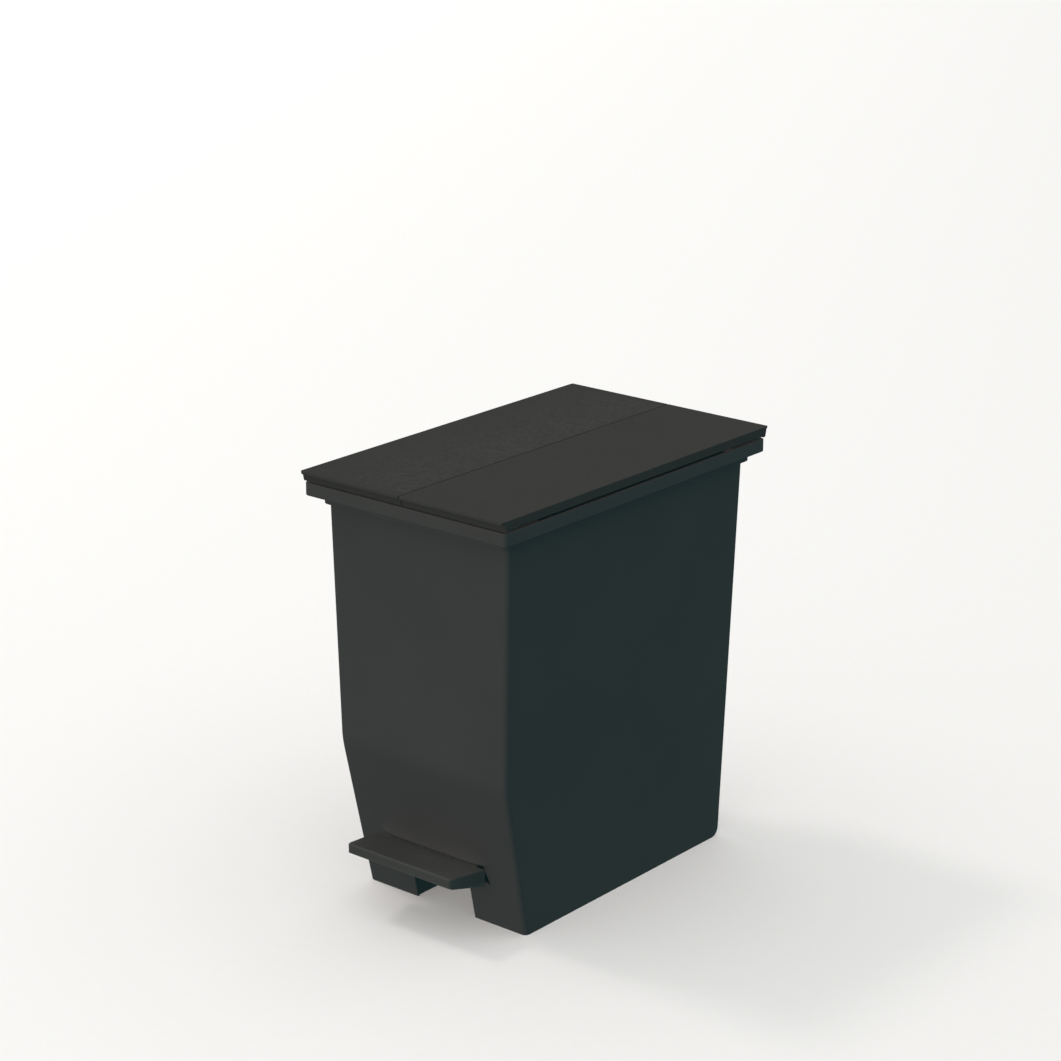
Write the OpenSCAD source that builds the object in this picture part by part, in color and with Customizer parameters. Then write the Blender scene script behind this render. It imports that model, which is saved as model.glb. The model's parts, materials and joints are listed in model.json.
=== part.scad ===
// Twin-lid pedal bin: tapered plastic body on a raised floor, snap-on frame,
// two lids hinged on the long sides, and a pedal that lifts both through a lever,
// a push rod and a crosshead.
// Origin: on the floor, under the middle of the whole footprint. +X right, -Y front, +Z up.

/* [Overall] */
// Height from the floor to the top of the closed lids
overall_h = 412; // [343:1:495]
// Width across the two closed lids
overall_w = 237; // [200:1:285]
// Depth of the lids from front to rear
lid_d = 385; // [320:1:462]
// How far the pedal's front edge stands ahead of the lids
pedal_over = 8; // [2:1:20]

/* [Lids] */
// Height of the lids' side walls
lid_h = 8.6; // [8:0.2:12]
// Thickness of the lids' top plate
lid_t = 2.9; // [2:0.1:4]
// Thickness of the lids' skirts and side walls
skirt_t = 2.2; // [1.6:0.1:2.6]
// Gap between the two lids along the seam
seam_gap = 1; // [0.6:0.1:2]
// Gap between the lids' side walls and the frame
lid_gap = 2.8; // [2.6:0.1:4]
// Gap between the lids' end skirts and the frame
skirt_gap = 1.4; // [1.4:0.1:2.2]
// How far the end skirts sit back under the top's nosing
nosing = 2; // [1:0.2:4]
// How far the end skirts lean in towards their lower edge
skirt_lean = 2.6; // [0:0.2:4]
// Angle that the lids open to
lid_open = 75; // [60:1:80]
// Number of cross ribs under each lid
lid_ribs = 5; // [3:1:7]

/* [Hinges] */
// How far the hinge axis lies in from the lid's outer face
hinge_in = 3.4; // [3:0.1:3.6]
// How far the hinge axis lies below the lid's top
hinge_drop = 6.8; // [6.4:0.1:7.2]
// Radius of the hinge pins
pin_r = 1.25; // [1:0.05:1.4]
// Outer radius of the frame's hinge eyes
eye_r = 2.4; // [2.2:0.1:2.5]
// Length of each hinge eye along its axis
eye_l = 7; // [5:0.5:12]
// Length of each lid knuckle beside an eye
knuckle_l = 4; // [3:0.5:6]

/* [Frame] */
// Height of the frame's flange
frame_h = 12; // [9:0.5:18]
// How far the lids' nosing stands out past the frame, front and rear
frame_in = 3.9; // [2:0.1:8]
// How far the frame overhangs the body at each side
side_over = 12.2; // [8:0.2:18]
// How far the frame overhangs the body at the front and rear
end_over = 18.2; // [14:0.2:26]
// Height of the collar that grips the body below the flange
collar_h = 8.6; // [5:0.2:14]
// Thickness of the collar at the sides
collar_side = 2.2; // [1.6:0.1:4]
// Depth of the collar at the front
collar_front = 6; // [3:0.5:12]
// Depth of the collar at the rear
collar_rear = 8.8; // [3:0.2:14]
// Depth of the rear shelf behind the bag opening
shelf_d = 36; // [32:1:44]
// Outer corner radius of the frame
frame_r = 5; // [3:0.5:10]

/* [Body] */
// Wall of the body
wall = 2.4; // [1.8:0.1:3.2]
// Height of the knee where the front wall turns in
knee_z = 151.6; // [126:0.5:182]
// How far the front wall has come in at the knee
knee_in = 2.7; // [1:0.1:6]
// How far the front wall has come in at the floor
base_front_in = 35.2; // [29:0.2:42]
// How far the rear wall has come in at the floor
base_rear_in = 10.8; // [8:0.2:14]
// How far each side wall has come in at the floor
base_side_in = 10.25; // [7:0.25:13]
// Radius of the body's upright corners
corner_r = 5.3; // [4:0.1:9]
// Rounding of the rear heel at the floor
heel_r = 8; // [4:0.5:10]
// Height of the raised floor's underside
floor_z = 66; // [60:1:72]
// Thickness of the raised floor
floor_t = 2.5; // [2:0.1:4]
// Width of the notch between the front feet
notch_w = 70.5; // [60:0.5:85]
// Depth of the web that runs back from each front foot
foot_web_l = 30; // [15:1:40]

/* [Pedal hood] */
// Height of the hood's lower edge, above the pedal slot
hood_z = 65; // [60:0.5:66]
// Height that the hood rises to above its lower edge
hood_h = 58; // [40:1:70]
// Half width of the hood at its lower edge
hood_w = 66; // [55:1:75]
// How far the hood stands out of the front wall
hood_out = 6.4; // [4:0.2:9]
// Height of the lower edge of the pedal slot
slot_z = 44.5; // [38:0.5:48]
// Half width of the pedal slot at its lower edge
slot_w = 62; // [50:1:66]

/* [Pedal and lever] */
// Width of the pedal at its front edge
pedal_w = 125; // [104:1:150]
// Depth of the pedal's tread
pedal_d = 43.5; // [36:0.5:45]
// Height of the tread's front edge
pedal_z = 69; // [66:0.5:72]
// How much the tread falls towards the body
pedal_fall = 4.5; // [0:0.5:6]
// Height of the pedal's front face
pedal_lip = 10.2; // [8:0.2:12]
// Depth of the pedal's sides where they meet the body
pedal_side = 16; // [12:0.5:17]
// Thickness of the pedal's walls
pedal_t = 2.4; // [1.8:0.1:3]
// Distance of the lever's pivot behind the lids' front edge
pivot_back = 132; // [110:1:150]
// Height of the lever's pivot
pivot_z = 48; // [44:0.5:50]
// Radius of the pivot pin
pivot_r = 3; // [2:0.1:3.6]
// Half width of the lever's channel
lever_w = 13; // [10:0.5:18]
// Sheet thickness of the lever
lever_t = 2; // [1.5:0.1:3]
// Depth of the lever's side flanges
lever_h = 10; // [7:0.5:12]
// Depth of the lever's side flanges at its front end, under the pedal
lever_front_h = 5; // [4:0.5:7]
// Half length of the lever's cross tube
tube_l = 42; // [30:1:60]
// Thickness of the body's pivot ears
ear_t = 6; // [4:0.5:9]

/* [Push rod] */
// Radius of the push rod
rod_r = 3; // [2:0.1:3.6]
// Distance of the push rod ahead of the body's rear face, at the top
rod_in = 22.4; // [20:0.2:26]
// Length of the lids' lifting arms from the hinge axis to the nose
arm_l = 24; // [20:0.5:26]
// Radius of the arms' noses
nose_r = 2; // [1.5:0.1:2.5]
// Height of the crosshead bar
bar_h = 6; // [4:0.5:8]
// Width of the crosshead bar
bar_w = 8; // [6:0.5:9]
// Height of each rod guide
guide_h = 16; // [10:0.5:24]

/* [Bucket] */
// Gap between the inner bucket and the body
bucket_gap = 3; // [2:0.5:6]
// Wall of the inner bucket
bucket_t = 1.8; // [1.4:0.1:2.6]
// Distance of the bucket's rim below the frame
bucket_drop = 12; // [8:1:24]
// Width of the finger grips in the bucket's rim
grip_w = 70; // [50:1:90]

/* [Fits] */
// Radial running fit of pins and rods
run_fit = 0.05; // [0.03:0.01:0.08]
// Gap between pieces that move past or rest near each other
clear = 0.3; // [0.25:0.05:0.35]

/* [Hidden] */
$fn = 48;
eps = 0.02;

// Heights, from the top down
frame_top = overall_h - lid_h - lid_gap;
frame_z = frame_top - frame_h;
plate_z = overall_h - lid_t;
hinge_z = overall_h - hinge_drop;
skirt_z = frame_top + skirt_gap;

// Plan sizes
lid_hw = overall_w / 2;
lid_hd = lid_d / 2;
hinge_x = lid_hw - hinge_in;
frame_hw = lid_hw - 0.15;
frame_hd = lid_hd - frame_in;
body_hw = lid_hw - side_over;
body_hd = frame_hd - end_over;
lid_yc = pedal_over / 2;

// Body outline at height z: how far each wall has come in from its place at the top
function rise(z) = 1 - z / frame_z;
function side_in(z) = base_side_in * rise(z);
function heel(z) = z < heel_r ? heel_r - sqrt(heel_r * heel_r - pow(heel_r - z, 2)) : 0;
function rear_in(z) = base_rear_in * rise(z) + heel(z);
upper_slope = knee_in / (frame_z - knee_z);
lower_slope = (base_front_in - knee_in) / knee_z;
knee_soft = 9;
function soft_step(t) = t > knee_soft ? t : t < -knee_soft ? 0 : pow(t + knee_soft, 2) / (4 * knee_soft);
function front_in(z) = upper_slope * (frame_z - z) + (lower_slope - upper_slope) * soft_step(knee_z - z);
function front_y(z) = -body_hd + front_in(z);
function rear_y(z) = body_hd - rear_in(z);

// Hood: how far it stands out at (x, z); a dome outline with a lip that flares at its foot
function flare(t) = t >= 1 ? 0 : 0.4 * pow(1 - t, 2) + 0.6 * pow(1 - t, 5);
function hood(x, z) = z < hood_z || abs(x) >= hood_w ? 0
    : let (u = x / hood_w, v = (z - hood_z) / hood_h, top = sqrt(1 - u * u))
        hood_out * (1 - pow(u, 6)) * flare(v / max(top, 0.05));

// Ring of points round a shape that follows the body, inset by t; rear_lim stops it short at the rear
corner_n = 3;
front_n = 14;
function ring(z, t, rear_lim, hooded) =
    let (hw = body_hw - side_in(z) - t, yf = front_y(z) + t, yb = min(rear_y(z) - t, rear_lim),
        r = max(corner_r - t, 1.5), s = 90 / corner_n)
    concat(
        [for (i = [0 : front_n]) let (x = (hw - r) * (2 * i / front_n - 1))
            [x, yf - (hooded ? hood(x, z) : 0), z]],
        [for (i = [1 : corner_n]) [hw - r + r * sin(i * s), yf + r - r * cos(i * s), z]],
        [for (i = [0 : corner_n]) [hw - r + r * cos(i * s), yb - r + r * sin(i * s), z]],
        [for (i = [0 : corner_n]) [-hw + r - r * sin(i * s), yb - r + r * cos(i * s), z]],
        [for (i = [0 : corner_n - 1]) [-hw + r - r * cos(i * s), yf + r - r * sin(i * s), z]]);

// Closed skin over a list of rings, with a flat cap on the first and the last.
// Each cap fans out from a point on the rear corner, which lies in line with no other edge.
module skin(rings) {
    n = len(rings[0]);
    m = len(rings);
    sides = [for (j = [0 : m - 2], i = [0 : n - 1]) let (k = (i + 1) % n)
        each [[j * n + i, j * n + n + i, j * n + k], [j * n + k, j * n + n + i, j * n + n + k]]];
    turn = front_n + corner_n + 2;
    first = [for (i = [0 : n - 1]) (i + turn) % n];
    last = [for (i = [0 : n - 1]) (m - 1) * n + (turn - i + n) % n];
    polyhedron([for (r = rings) each r], concat(sides, [first, last]), convexity = 8);
}

function backwards(list) = [for (i = [len(list) - 1 : -1 : 0]) list[i]];

// Levels for the hood and the knee
hood_levels = [for (v = [0.06, 0.14, 0.25, 0.4, 0.6, 0.8, 1]) hood_z + hood_h * v];
knee_levels = [for (s = [-1, -0.4, 0.2, 1]) knee_z + knee_soft * s];
heel_levels = [0, heel_r * 0.12, heel_r * 0.4, heel_r];

// Drive train
seat_gap = 0.75;
sweep = lid_open / 2;
nose_dx = arm_l * cos(sweep);
nose_dz = arm_l * sin(sweep);
rod_travel = 2 * nose_dz;
bar_top = hinge_z - nose_dz - nose_r - seat_gap;
bar_hw = hinge_x - nose_dx + nose_r + 1.4;
rod_y = body_hd - rod_in;
pivot_y = -lid_hd + pivot_back;
// The lever's top face falls from the pedal to the pivot, and more steeply from there to its tail,
// so that the rod's foot stays under the raised floor at the top of its travel
lever_up = 5;
foot_h = 8;
foot_gap = 0.7;
tail_z = floor_z - 1.5 - rod_travel - foot_h - foot_gap;
front_slope = 0.0724;
tail_slope = (pivot_z + lever_up - tail_z) / (rod_y - pivot_y);
function lever_z(y) = pivot_z + lever_up - (y < pivot_y ? front_slope : tail_slope) * (y - pivot_y);
lever_tail = rod_y + 7;
rod_bottom = tail_z + foot_gap + 2.5;
slot_hd = 8;

// Pedal outline
pedal_y = -lid_hd - pedal_over;
pedal_rear = pedal_y + pedal_d;
pedal_rear_z = pedal_z - pedal_fall;
pedal_flare = 3.5;

module placed() {
    translate([0, lid_yc, 0]) children();
}

// Rounded rectangle from straight and round pieces
module rrect(w, d, r) {
    square([w - 2 * r, d], center = true);
    square([w, d - 2 * r], center = true);
    for (sx = [-1, 1], sy = [-1, 1])
        translate([sx * (w / 2 - r), sy * (d / 2 - r)]) circle(r);
}

// Cylinder along X or Y, centred on the origin
module x_rod(r, l) {
    rotate([0, 90, 0]) cylinder(r = r, h = l, center = true);
}
module y_rod(r, l) {
    rotate([90, 0, 0]) cylinder(r = r, h = l, center = true);
}

// Outline in the YZ plane, extruded along X from x0 to x1
module yz_bar(points, x0, x1) {
    translate([x0, 0, 0]) rotate([90, 0, 90]) linear_extrude(x1 - x0) polygon(points);
}
// Outline in the XZ plane, extruded along Y from y0 to y1
module xz_bar(points, y0, y1) {
    translate([0, y1, 0]) rotate([90, 0, 0]) linear_extrude(y1 - y0) polygon(points);
}
module block(x0, x1, y0, y1, z0, z1) {
    translate([x0, y0, z0]) cube([x1 - x0, y1 - y0, z1 - z0]);
}

// Pan-head screw along -Z, its head's seat at the origin
screw_r = 1.4;
head_r = 2.9;
head_h = 1.8;
module screw(l) {
    translate([0, 0, -l]) cylinder(r = screw_r, h = l + 0.5);
    difference() {
        cylinder(r1 = head_r, r2 = head_r * 0.8, h = head_h);
        for (a = [0, 90])
            rotate(a) translate([0, 0, head_h]) cube([head_r, 0.7, 1.6], center = true);
    }
}
screw_hole = screw_r + run_fit;

/* ---------- body ---------- */

ear_x = tube_l + clear + ear_t / 2;
ear_r = 6.5;
boss_r = 4;
guide_hw = 15;
guide_screw_x = 10.5;

module pivot_ear() {
    difference() {
        union() {
            block(-ear_t / 2, ear_t / 2, -ear_r, ear_r, 0, floor_z - pivot_z + eps);
            x_rod(ear_r, ear_t);
        }
        x_rod(pivot_r + run_fit, ear_t + 1);
    }
}

slot_flare = 6;
module pedal_slot() {
    top = hood_z - clear;
    rotate([90, 0, 0]) translate([0, 0, body_hd - base_front_in - 6]) linear_extrude(40)
        polygon([[-slot_w, slot_z], [slot_w, slot_z], [slot_w - slot_flare, top], [-slot_w + slot_flare, top]]);
}

module front_notch() {
    block(-notch_w / 2, notch_w / 2, -body_hd - 1, front_y(0) + wall + 9, -1, slot_z + 1);
}

module foot_webs() {
    for (s = [-1, 1])
        translate([s * (notch_w / 2 + wall / 2 + clear), 0, 0])
            yz_bar([[front_y(0) + wall - 0.4, 0], [front_y(0) + foot_web_l, 0],
                [front_y(0) + foot_web_l, floor_z + eps],
                [front_y(slot_z) + wall + 8, floor_z + eps],
                [front_y(slot_z) + wall + 8, slot_z],
                [front_y(slot_z) + wall - 0.4, slot_z - 4]], -wall / 2, wall / 2);
}

// The body's whole surface in one walk: down under the raised floor, round the foot,
// up the outside, over the rim and down the inside to the top of the floor
module body_shell() {
    lower = concat(heel_levels, [slot_z, hood_z - clear, hood_z, hood_z + 0.5]);
    outer = concat(lower, hood_levels, knee_levels, [frame_z]);
    above = floor_z + floor_t;
    inside = concat([above], [for (z = hood_levels) if (z > above + 1) z], knee_levels, [frame_z]);
    under = concat(heel_levels, [slot_z, floor_z]);
    skin(concat([for (z = backwards(under)) ring(z, wall, body_hd, false)],
        [for (z = outer) ring(z, 0, body_hd, true)],
        [for (z = backwards(inside)) ring(z, wall, body_hd, true)]));
}

module body() {
    color("#3b3c3a") placed() {
        difference() {
            body_shell();
            pedal_slot();
            front_notch();
            translate([0, rod_y, floor_z - 1]) cylinder(r = rod_r + 1.5, h = floor_t + 2);
            for (s = [-1, 1]) {
                translate([s * guide_screw_x, rod_y, floor_z - 1]) cylinder(r = screw_hole, h = floor_t + 2);
                translate([s * guide_screw_x, body_hd, upper_guide_z + guide_h / 2])
                    y_rod(screw_hole, 30);
            }
        }
        foot_webs();
        for (s = [-1, 1]) {
            translate([s * ear_x, pivot_y, pivot_z]) pivot_ear();
            translate([s * guide_screw_x, rod_y, floor_z - 7]) difference() {
                cylinder(r = boss_r, h = 7 + eps);
                translate([0, 0, -1]) cylinder(r = screw_hole, h = 10);
            }
        }
    }
}

/* ---------- frame ---------- */

skirt_in_h = 6;
open_hw = body_hw - wall - clear - 2;
open_front = -body_hd + wall + clear + 2;
open_rear = body_hd - shelf_d;
hinge_end = lid_hd - nosing - skirt_lean - skirt_t - clear - 0.2;
eye_y = hinge_end - knuckle_l - clear - eye_l / 2;

// A hinge eye on a foot that reaches inwards, clear of the lid's side wall as it turns
eye_foot = 9;
module hinge_eye() {
    difference() {
        union() {
            y_rod(eye_r, eye_l);
            xz_bar([[-eye_foot, frame_top - hinge_z - 1], [0.4, frame_top - hinge_z - 1], [0.4, -eye_r + 0.2],
                [0, 0], [-1.6, 1.6], [-eye_foot, -1.4]], -eye_l / 2, eye_l / 2);
        }
        y_rod(pin_r + run_fit, eye_l + 1);
    }
}

module frame() {
    trough = 7;
    color("#3d3e3c") placed() {
        difference() {
            union() {
                translate([0, 0, frame_z]) linear_extrude(frame_h) rrect(2 * frame_hw, 2 * frame_hd, frame_r);
                // collar that grips the outside of the body
                translate([0, (collar_rear - collar_front) / 2, frame_z - collar_h])
                    linear_extrude(collar_h + eps)
                    rrect(2 * (body_hw + collar_side), 2 * body_hd + collar_front + collar_rear, corner_r + 2);
            }
            // seat for the body's rim
            translate([0, 0, frame_z - collar_h - 1]) linear_extrude(collar_h + 1)
                rrect(2 * (body_hw + clear), 2 * (body_hd + clear), corner_r);
            // bag opening
            translate([0, (open_front + open_rear) / 2, frame_z - 1]) linear_extrude(frame_h + 2)
                rrect(2 * open_hw, open_rear - open_front, 6);
            // slot for the crosshead and the lifting arms
            translate([0, rod_y, frame_z - 1]) linear_extrude(frame_h + 2)
                rrect(2 * (hinge_x - 7), 2 * slot_hd, 3);
            // troughs along the sides
            for (s = [-1, 1])
                translate([s * (open_hw + frame_hw) / 2, 0, frame_top - trough]) linear_extrude(trough + 1)
                    rrect(frame_hw - open_hw - 6, 2 * (eye_y - eye_l - 30), 2);
        }
        // locating skirt inside the body's rim
        translate([0, 0, frame_z - skirt_in_h]) linear_extrude(skirt_in_h + eps) difference() {
            rrect(2 * (open_hw + 2), 2 * (body_hd - wall - clear), 4);
            rrect(2 * open_hw, 2 * (body_hd - wall - clear - 2), 3);
            // kept clear of the crosshead's ends, where those reach out this far
            translate([0, rod_y]) square([2 * (bar_hw + 1), 2 * slot_hd], center = true);
        }
        for (sx = [-1, 1], sy = [-1, 1])
            mirror([sx > 0 ? 0 : 1, 0, 0]) translate([hinge_x, sy * eye_y, hinge_z]) hinge_eye();
    }
}

/* ---------- lids ---------- */

knuckle_r = 3.2;
arm_boss_dx = [-33, -10];
arm_boss_z = hinge_z;

// Outline of a lid along its depth: top plate, nosing, groove and leaning skirts
module lid_section(x0, x1) {
    groove = 0.6;
    top_front = lid_hd - nosing;
    low = top_front - skirt_lean;
    half = [[lid_hd, overall_h], [lid_hd, plate_z], [top_front - groove, plate_z - 0.2],
        [top_front - groove, plate_z - 1], [top_front - 0.2, plate_z - 1.4],
        [low, skirt_z], [low - skirt_t, skirt_z], [top_front - skirt_t - 0.6, plate_z]];
    front = [for (p = half) [-p[0], p[1]]];
    rear = [for (i = [len(half) - 1 : -1 : 0]) half[i]];
    yz_bar(concat(front, rear), x0, x1);
}

module knuckle(y0, y1) {
    difference() {
        union() {
            translate([hinge_x, (y0 + y1) / 2, hinge_z]) y_rod(knuckle_r, y1 - y0);
            block(hinge_x - knuckle_r, hinge_x + knuckle_r, y0, y1, hinge_z, plate_z + eps);
        }
        translate([hinge_x, (y0 + y1) / 2, hinge_z]) y_rod(pin_r + run_fit, y1 - y0 + 1);
    }
}

// Right-hand lid; the left one is its mirror image
module lid_half() {
    x0 = seam_gap / 2;
    wall_z = plate_z - (lid_h - lid_t);
    end_in = lid_hd - nosing - skirt_lean - skirt_t;
    sweep_r = hinge_z - frame_top - clear - 0.02;
    rib_pitch = 2 * (lid_hd - 55) / (lid_ribs - 1);
    difference() {
        union() {
            lid_section(x0, lid_hw);
            block(lid_hw - skirt_t, lid_hw, -end_in - 1, end_in + 1, wall_z, plate_z + eps);
            block(x0, x0 + 2, -end_in - 1, end_in + 1, plate_z - 4, plate_z + eps);
            for (i = [0 : lid_ribs - 1]) {
                y = -lid_hd + 55 + i * rib_pitch;
                if (abs(y - rod_y) > 12)
                    block(x0, hinge_x - 12, y - 0.8, y + 0.8, plate_z - 3.5, plate_z + eps);
            }
            for (dx = arm_boss_dx)
                translate([hinge_x + dx, rod_y, arm_boss_z]) cylinder(r = 3.4, h = plate_z - arm_boss_z + eps);
        }
        // the lower outer edge is cut back to the arc that clears the frame as the lid turns
        difference() {
            block(hinge_x + 0.5, lid_hw + 1, -lid_hd - 1, lid_hd + 1, frame_top - 1, hinge_z - 0.4);
            translate([hinge_x, 0, hinge_z]) y_rod(sweep_r, 2 * lid_hd + 4);
        }
        // room for the hinge eyes and their feet
        for (s = [-1, 1])
            translate([hinge_x, s * eye_y, 0]) {
                block(-eye_r - 3, eye_r + clear, -eye_l / 2 - clear, eye_l / 2 + clear, wall_z - 2, plate_z - 0.6);
                block(0, lid_hw, -eye_l / 2 - clear, eye_l / 2 + clear, wall_z - 2, hinge_z + 0.4);
                translate([0, 0, hinge_z]) y_rod(pin_r + run_fit, eye_l + 2 * (knuckle_l + clear));
            }
        for (dx = arm_boss_dx)
            translate([hinge_x + dx, rod_y, arm_boss_z - 1]) cylinder(r = screw_hole, h = 5.6);
    }
    for (s = [0, 1])
        mirror([0, s, 0]) {
            y0 = -eye_y - eye_l / 2 - clear;
            knuckle(y0 - knuckle_l, y0);
            knuckle(-eye_y + eye_l / 2 + clear, -eye_y + eye_l / 2 + clear + knuckle_l);
        }
}

module lid_left() {
    color("#424340") placed() mirror([1, 0, 0]) lid_half();
}
module lid_right() {
    color("#424340") placed() lid_half();
}

/* ---------- hinge pins, lifting arms and buffers ---------- */

module hinge_pin(sx, sy) {
    l = eye_l + 2 * knuckle_l + 2 * clear - 0.6;
    color("silver") placed() translate([sx * hinge_x, sy * eye_y, hinge_z]) y_rod(pin_r, l);
}
module hinge_pin_left_front() { hinge_pin(-1, -1); }
module hinge_pin_left_rear() { hinge_pin(-1, 1); }
module hinge_pin_right_front() { hinge_pin(1, -1); }
module hinge_pin_right_rear() { hinge_pin(1, 1); }

arm_t = 5;
flange_t = 2.2;
module lift_arm() {
    translate([hinge_x, rod_y, hinge_z]) {
        difference() {
            union() {
                block(arm_boss_dx[0] - 4, arm_boss_dx[1] + 4, -6, 6, -flange_t, 0);
                xz_bar([[-nose_dx - nose_r, -nose_dz], [-nose_dx + nose_r, -nose_dz], [-14.5, -flange_t + 0.1],
                    [-28.5, -flange_t + 0.1]], -arm_t / 2, arm_t / 2);
                translate([-nose_dx, 0, -nose_dz]) y_rod(nose_r, arm_t);
            }
            for (dx = arm_boss_dx)
                translate([dx, 0, -5]) cylinder(r = screw_hole, h = 6);
        }
    }
}
module lift_arm_left() {
    color("#2c2d2c") placed() mirror([1, 0, 0]) lift_arm();
}
module lift_arm_right() {
    color("#2c2d2c") placed() lift_arm();
}
module arm_screws() {
    for (dx = arm_boss_dx)
        translate([hinge_x + dx, rod_y, arm_boss_z - flange_t]) rotate([180, 0, 0]) screw(flange_t + 3.2);
}
module arm_screws_left() {
    color("silver") placed() mirror([1, 0, 0]) arm_screws();
}
module arm_screws_right() {
    color("silver") placed() arm_screws();
}

buffer_r = 3;
buffer_x = 14;
buffer_front = -body_hd - 4;
buffer_rear = body_hd + 4;
module lid_buffers() {
    h = plate_z - clear - frame_top;
    color("#1c1c1c") placed()
        for (sx = [-1, 1], y = [buffer_front, buffer_rear])
            translate([sx * buffer_x, y, frame_top]) {
                cylinder(r = buffer_r, h = h - 1);
                translate([0, 0, h - 1]) cylinder(r1 = buffer_r, r2 = buffer_r - 1, h = 1);
            }
}

/* ---------- pedal and lever ---------- */

// Half width of the pedal at depth y; it widens a little towards the body
function pedal_hw(y) = pedal_w / 2 + pedal_flare * (y - pedal_y) / pedal_d;
function tread_z(y) = pedal_z - pedal_fall * (y - pedal_y) / pedal_d;

module pedal_plan(inset) {
    polygon([[-pedal_hw(pedal_y) + inset, pedal_y + inset], [pedal_hw(pedal_y) - inset, pedal_y + inset],
        [pedal_hw(pedal_rear) - inset, pedal_rear + (inset > 0 ? 1 : 0)],
        [-pedal_hw(pedal_rear) + inset, pedal_rear + (inset > 0 ? 1 : 0)]]);
}

// The tread goes on as a neck, under the hood and through the slot
neck_hw = slot_w - slot_flare - 2;
neck_rear = front_y(hood_z) + wall + 4;
neck_t = 2;

seat_w = 16;
screw_y = [pedal_y + 14, pedal_y + 32];
module pedal() {
    hw = pedal_hw(pedal_rear) + 1;
    side = [[pedal_y, pedal_z - 0.8], [pedal_y + 0.8, pedal_z], [pedal_rear, pedal_rear_z],
        [pedal_rear, pedal_rear_z - pedal_side], [pedal_y + 4, pedal_z - pedal_lip - 0.6],
        [pedal_y, pedal_z - pedal_lip + 1]];
    core = [[pedal_y - 1, tread_z(pedal_y) - pedal_t], [pedal_rear + 2, tread_z(pedal_rear) - pedal_t],
        [pedal_rear + 2, 30], [pedal_y - 1, 30]];
    color("#3f403d") placed() difference() {
        union() {
            difference() {
                intersection() {
                    yz_bar(side, -hw, hw);
                    translate([0, 0, 20]) linear_extrude(80) pedal_plan(0);
                }
                intersection() {
                    yz_bar(core, -hw, hw);
                    translate([0, 0, 20]) linear_extrude(80) pedal_plan(pedal_t);
                }
            }
            yz_bar([[pedal_rear - 1, tread_z(pedal_rear - 1)], [pedal_rear - 1, tread_z(pedal_rear - 1) - neck_t],
                [neck_rear, tread_z(neck_rear) - neck_t], [neck_rear, tread_z(neck_rear)]], -neck_hw, neck_hw);
            // seat on the lever, with ribs out to the sides
            intersection() {
                union() {
                    block(-seat_w, seat_w, pedal_y + pedal_t - 0.5, pedal_rear, 50, 80);
                    for (x = [-48, -32, 32, 48])
                        block(x - 0.8, x + 0.8, pedal_y + pedal_t - 0.5, pedal_rear, 56, 80);
                }
                yz_bar([[pedal_y + 1, tread_z(pedal_y) - 1], [pedal_rear, tread_z(pedal_rear) - 1],
                    [pedal_rear, lever_z(pedal_rear)], [pedal_y + 1, lever_z(pedal_y + 1)]], -hw, hw);
            }
        }
        for (y = screw_y)
            translate([0, y, lever_z(y) - 1]) cylinder(r = screw_hole, h = 6);
    }
}

module pedal_screws() {
    color("silver") placed()
        for (y = screw_y)
            translate([0, y, lever_z(y) - lever_t - clear]) rotate([180, 0, 0]) screw(lever_t + 4);
}

tube_r = 5;
module lever() {
    y0 = pedal_y + 8;
    y1 = lever_tail;
    channel = concat([for (y = [y0, pivot_y, y1]) [y, lever_z(y)]],
        [for (y = [y1, pivot_y, pedal_rear]) [y, lever_z(y) - lever_h]], [[y0, lever_z(y0) - lever_front_h]]);
    inner = concat([for (y = [y0 - 1, pivot_y, y1 + 1]) [y, lever_z(y) - lever_t]],
        [[y1 + 1, 0], [y0 - 1, 0]]);
    color("#a9acae") placed() difference() {
        union() {
            difference() {
                yz_bar(channel, -lever_w, lever_w);
                yz_bar(inner, -lever_w + lever_t, lever_w - lever_t);
            }
            translate([0, pivot_y, pivot_z]) x_rod(tube_r, 2 * tube_l);
        }
        translate([0, pivot_y, pivot_z]) x_rod(pivot_r + run_fit, 2 * tube_l + 1);
        for (y = screw_y)
            translate([0, y, lever_z(y) - lever_t - 1]) cylinder(r = screw_hole, h = lever_t + 2);
    }
}

stop_y = -120;
module lever_stop() {
    color("#1c1c1c") placed() translate([0, stop_y, 0])
        block(-8, 8, -5, 5, lever_z(stop_y - 5) + clear, floor_z);
}

pin_l = 2 * (ear_x + ear_t / 2) + 6;
module pivot_pin() {
    color("silver") placed() translate([0, pivot_y, pivot_z]) x_rod(pivot_r, pin_l);
}
clip_t = 1;
module pivot_clips() {
    color("#8f9294") placed()
        for (s = [-1, 1])
            translate([s * (ear_x + ear_t / 2 + clear + clip_t / 2), pivot_y, pivot_z]) difference() {
                x_rod(pivot_r + 2.4, clip_t);
                x_rod(pivot_r + run_fit, clip_t + 1);
                translate([0, 0, -pivot_r - 2]) cube([clip_t + 1, 3, 4], center = true);
            }
}

/* ---------- push rod, crosshead and guides ---------- */

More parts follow.
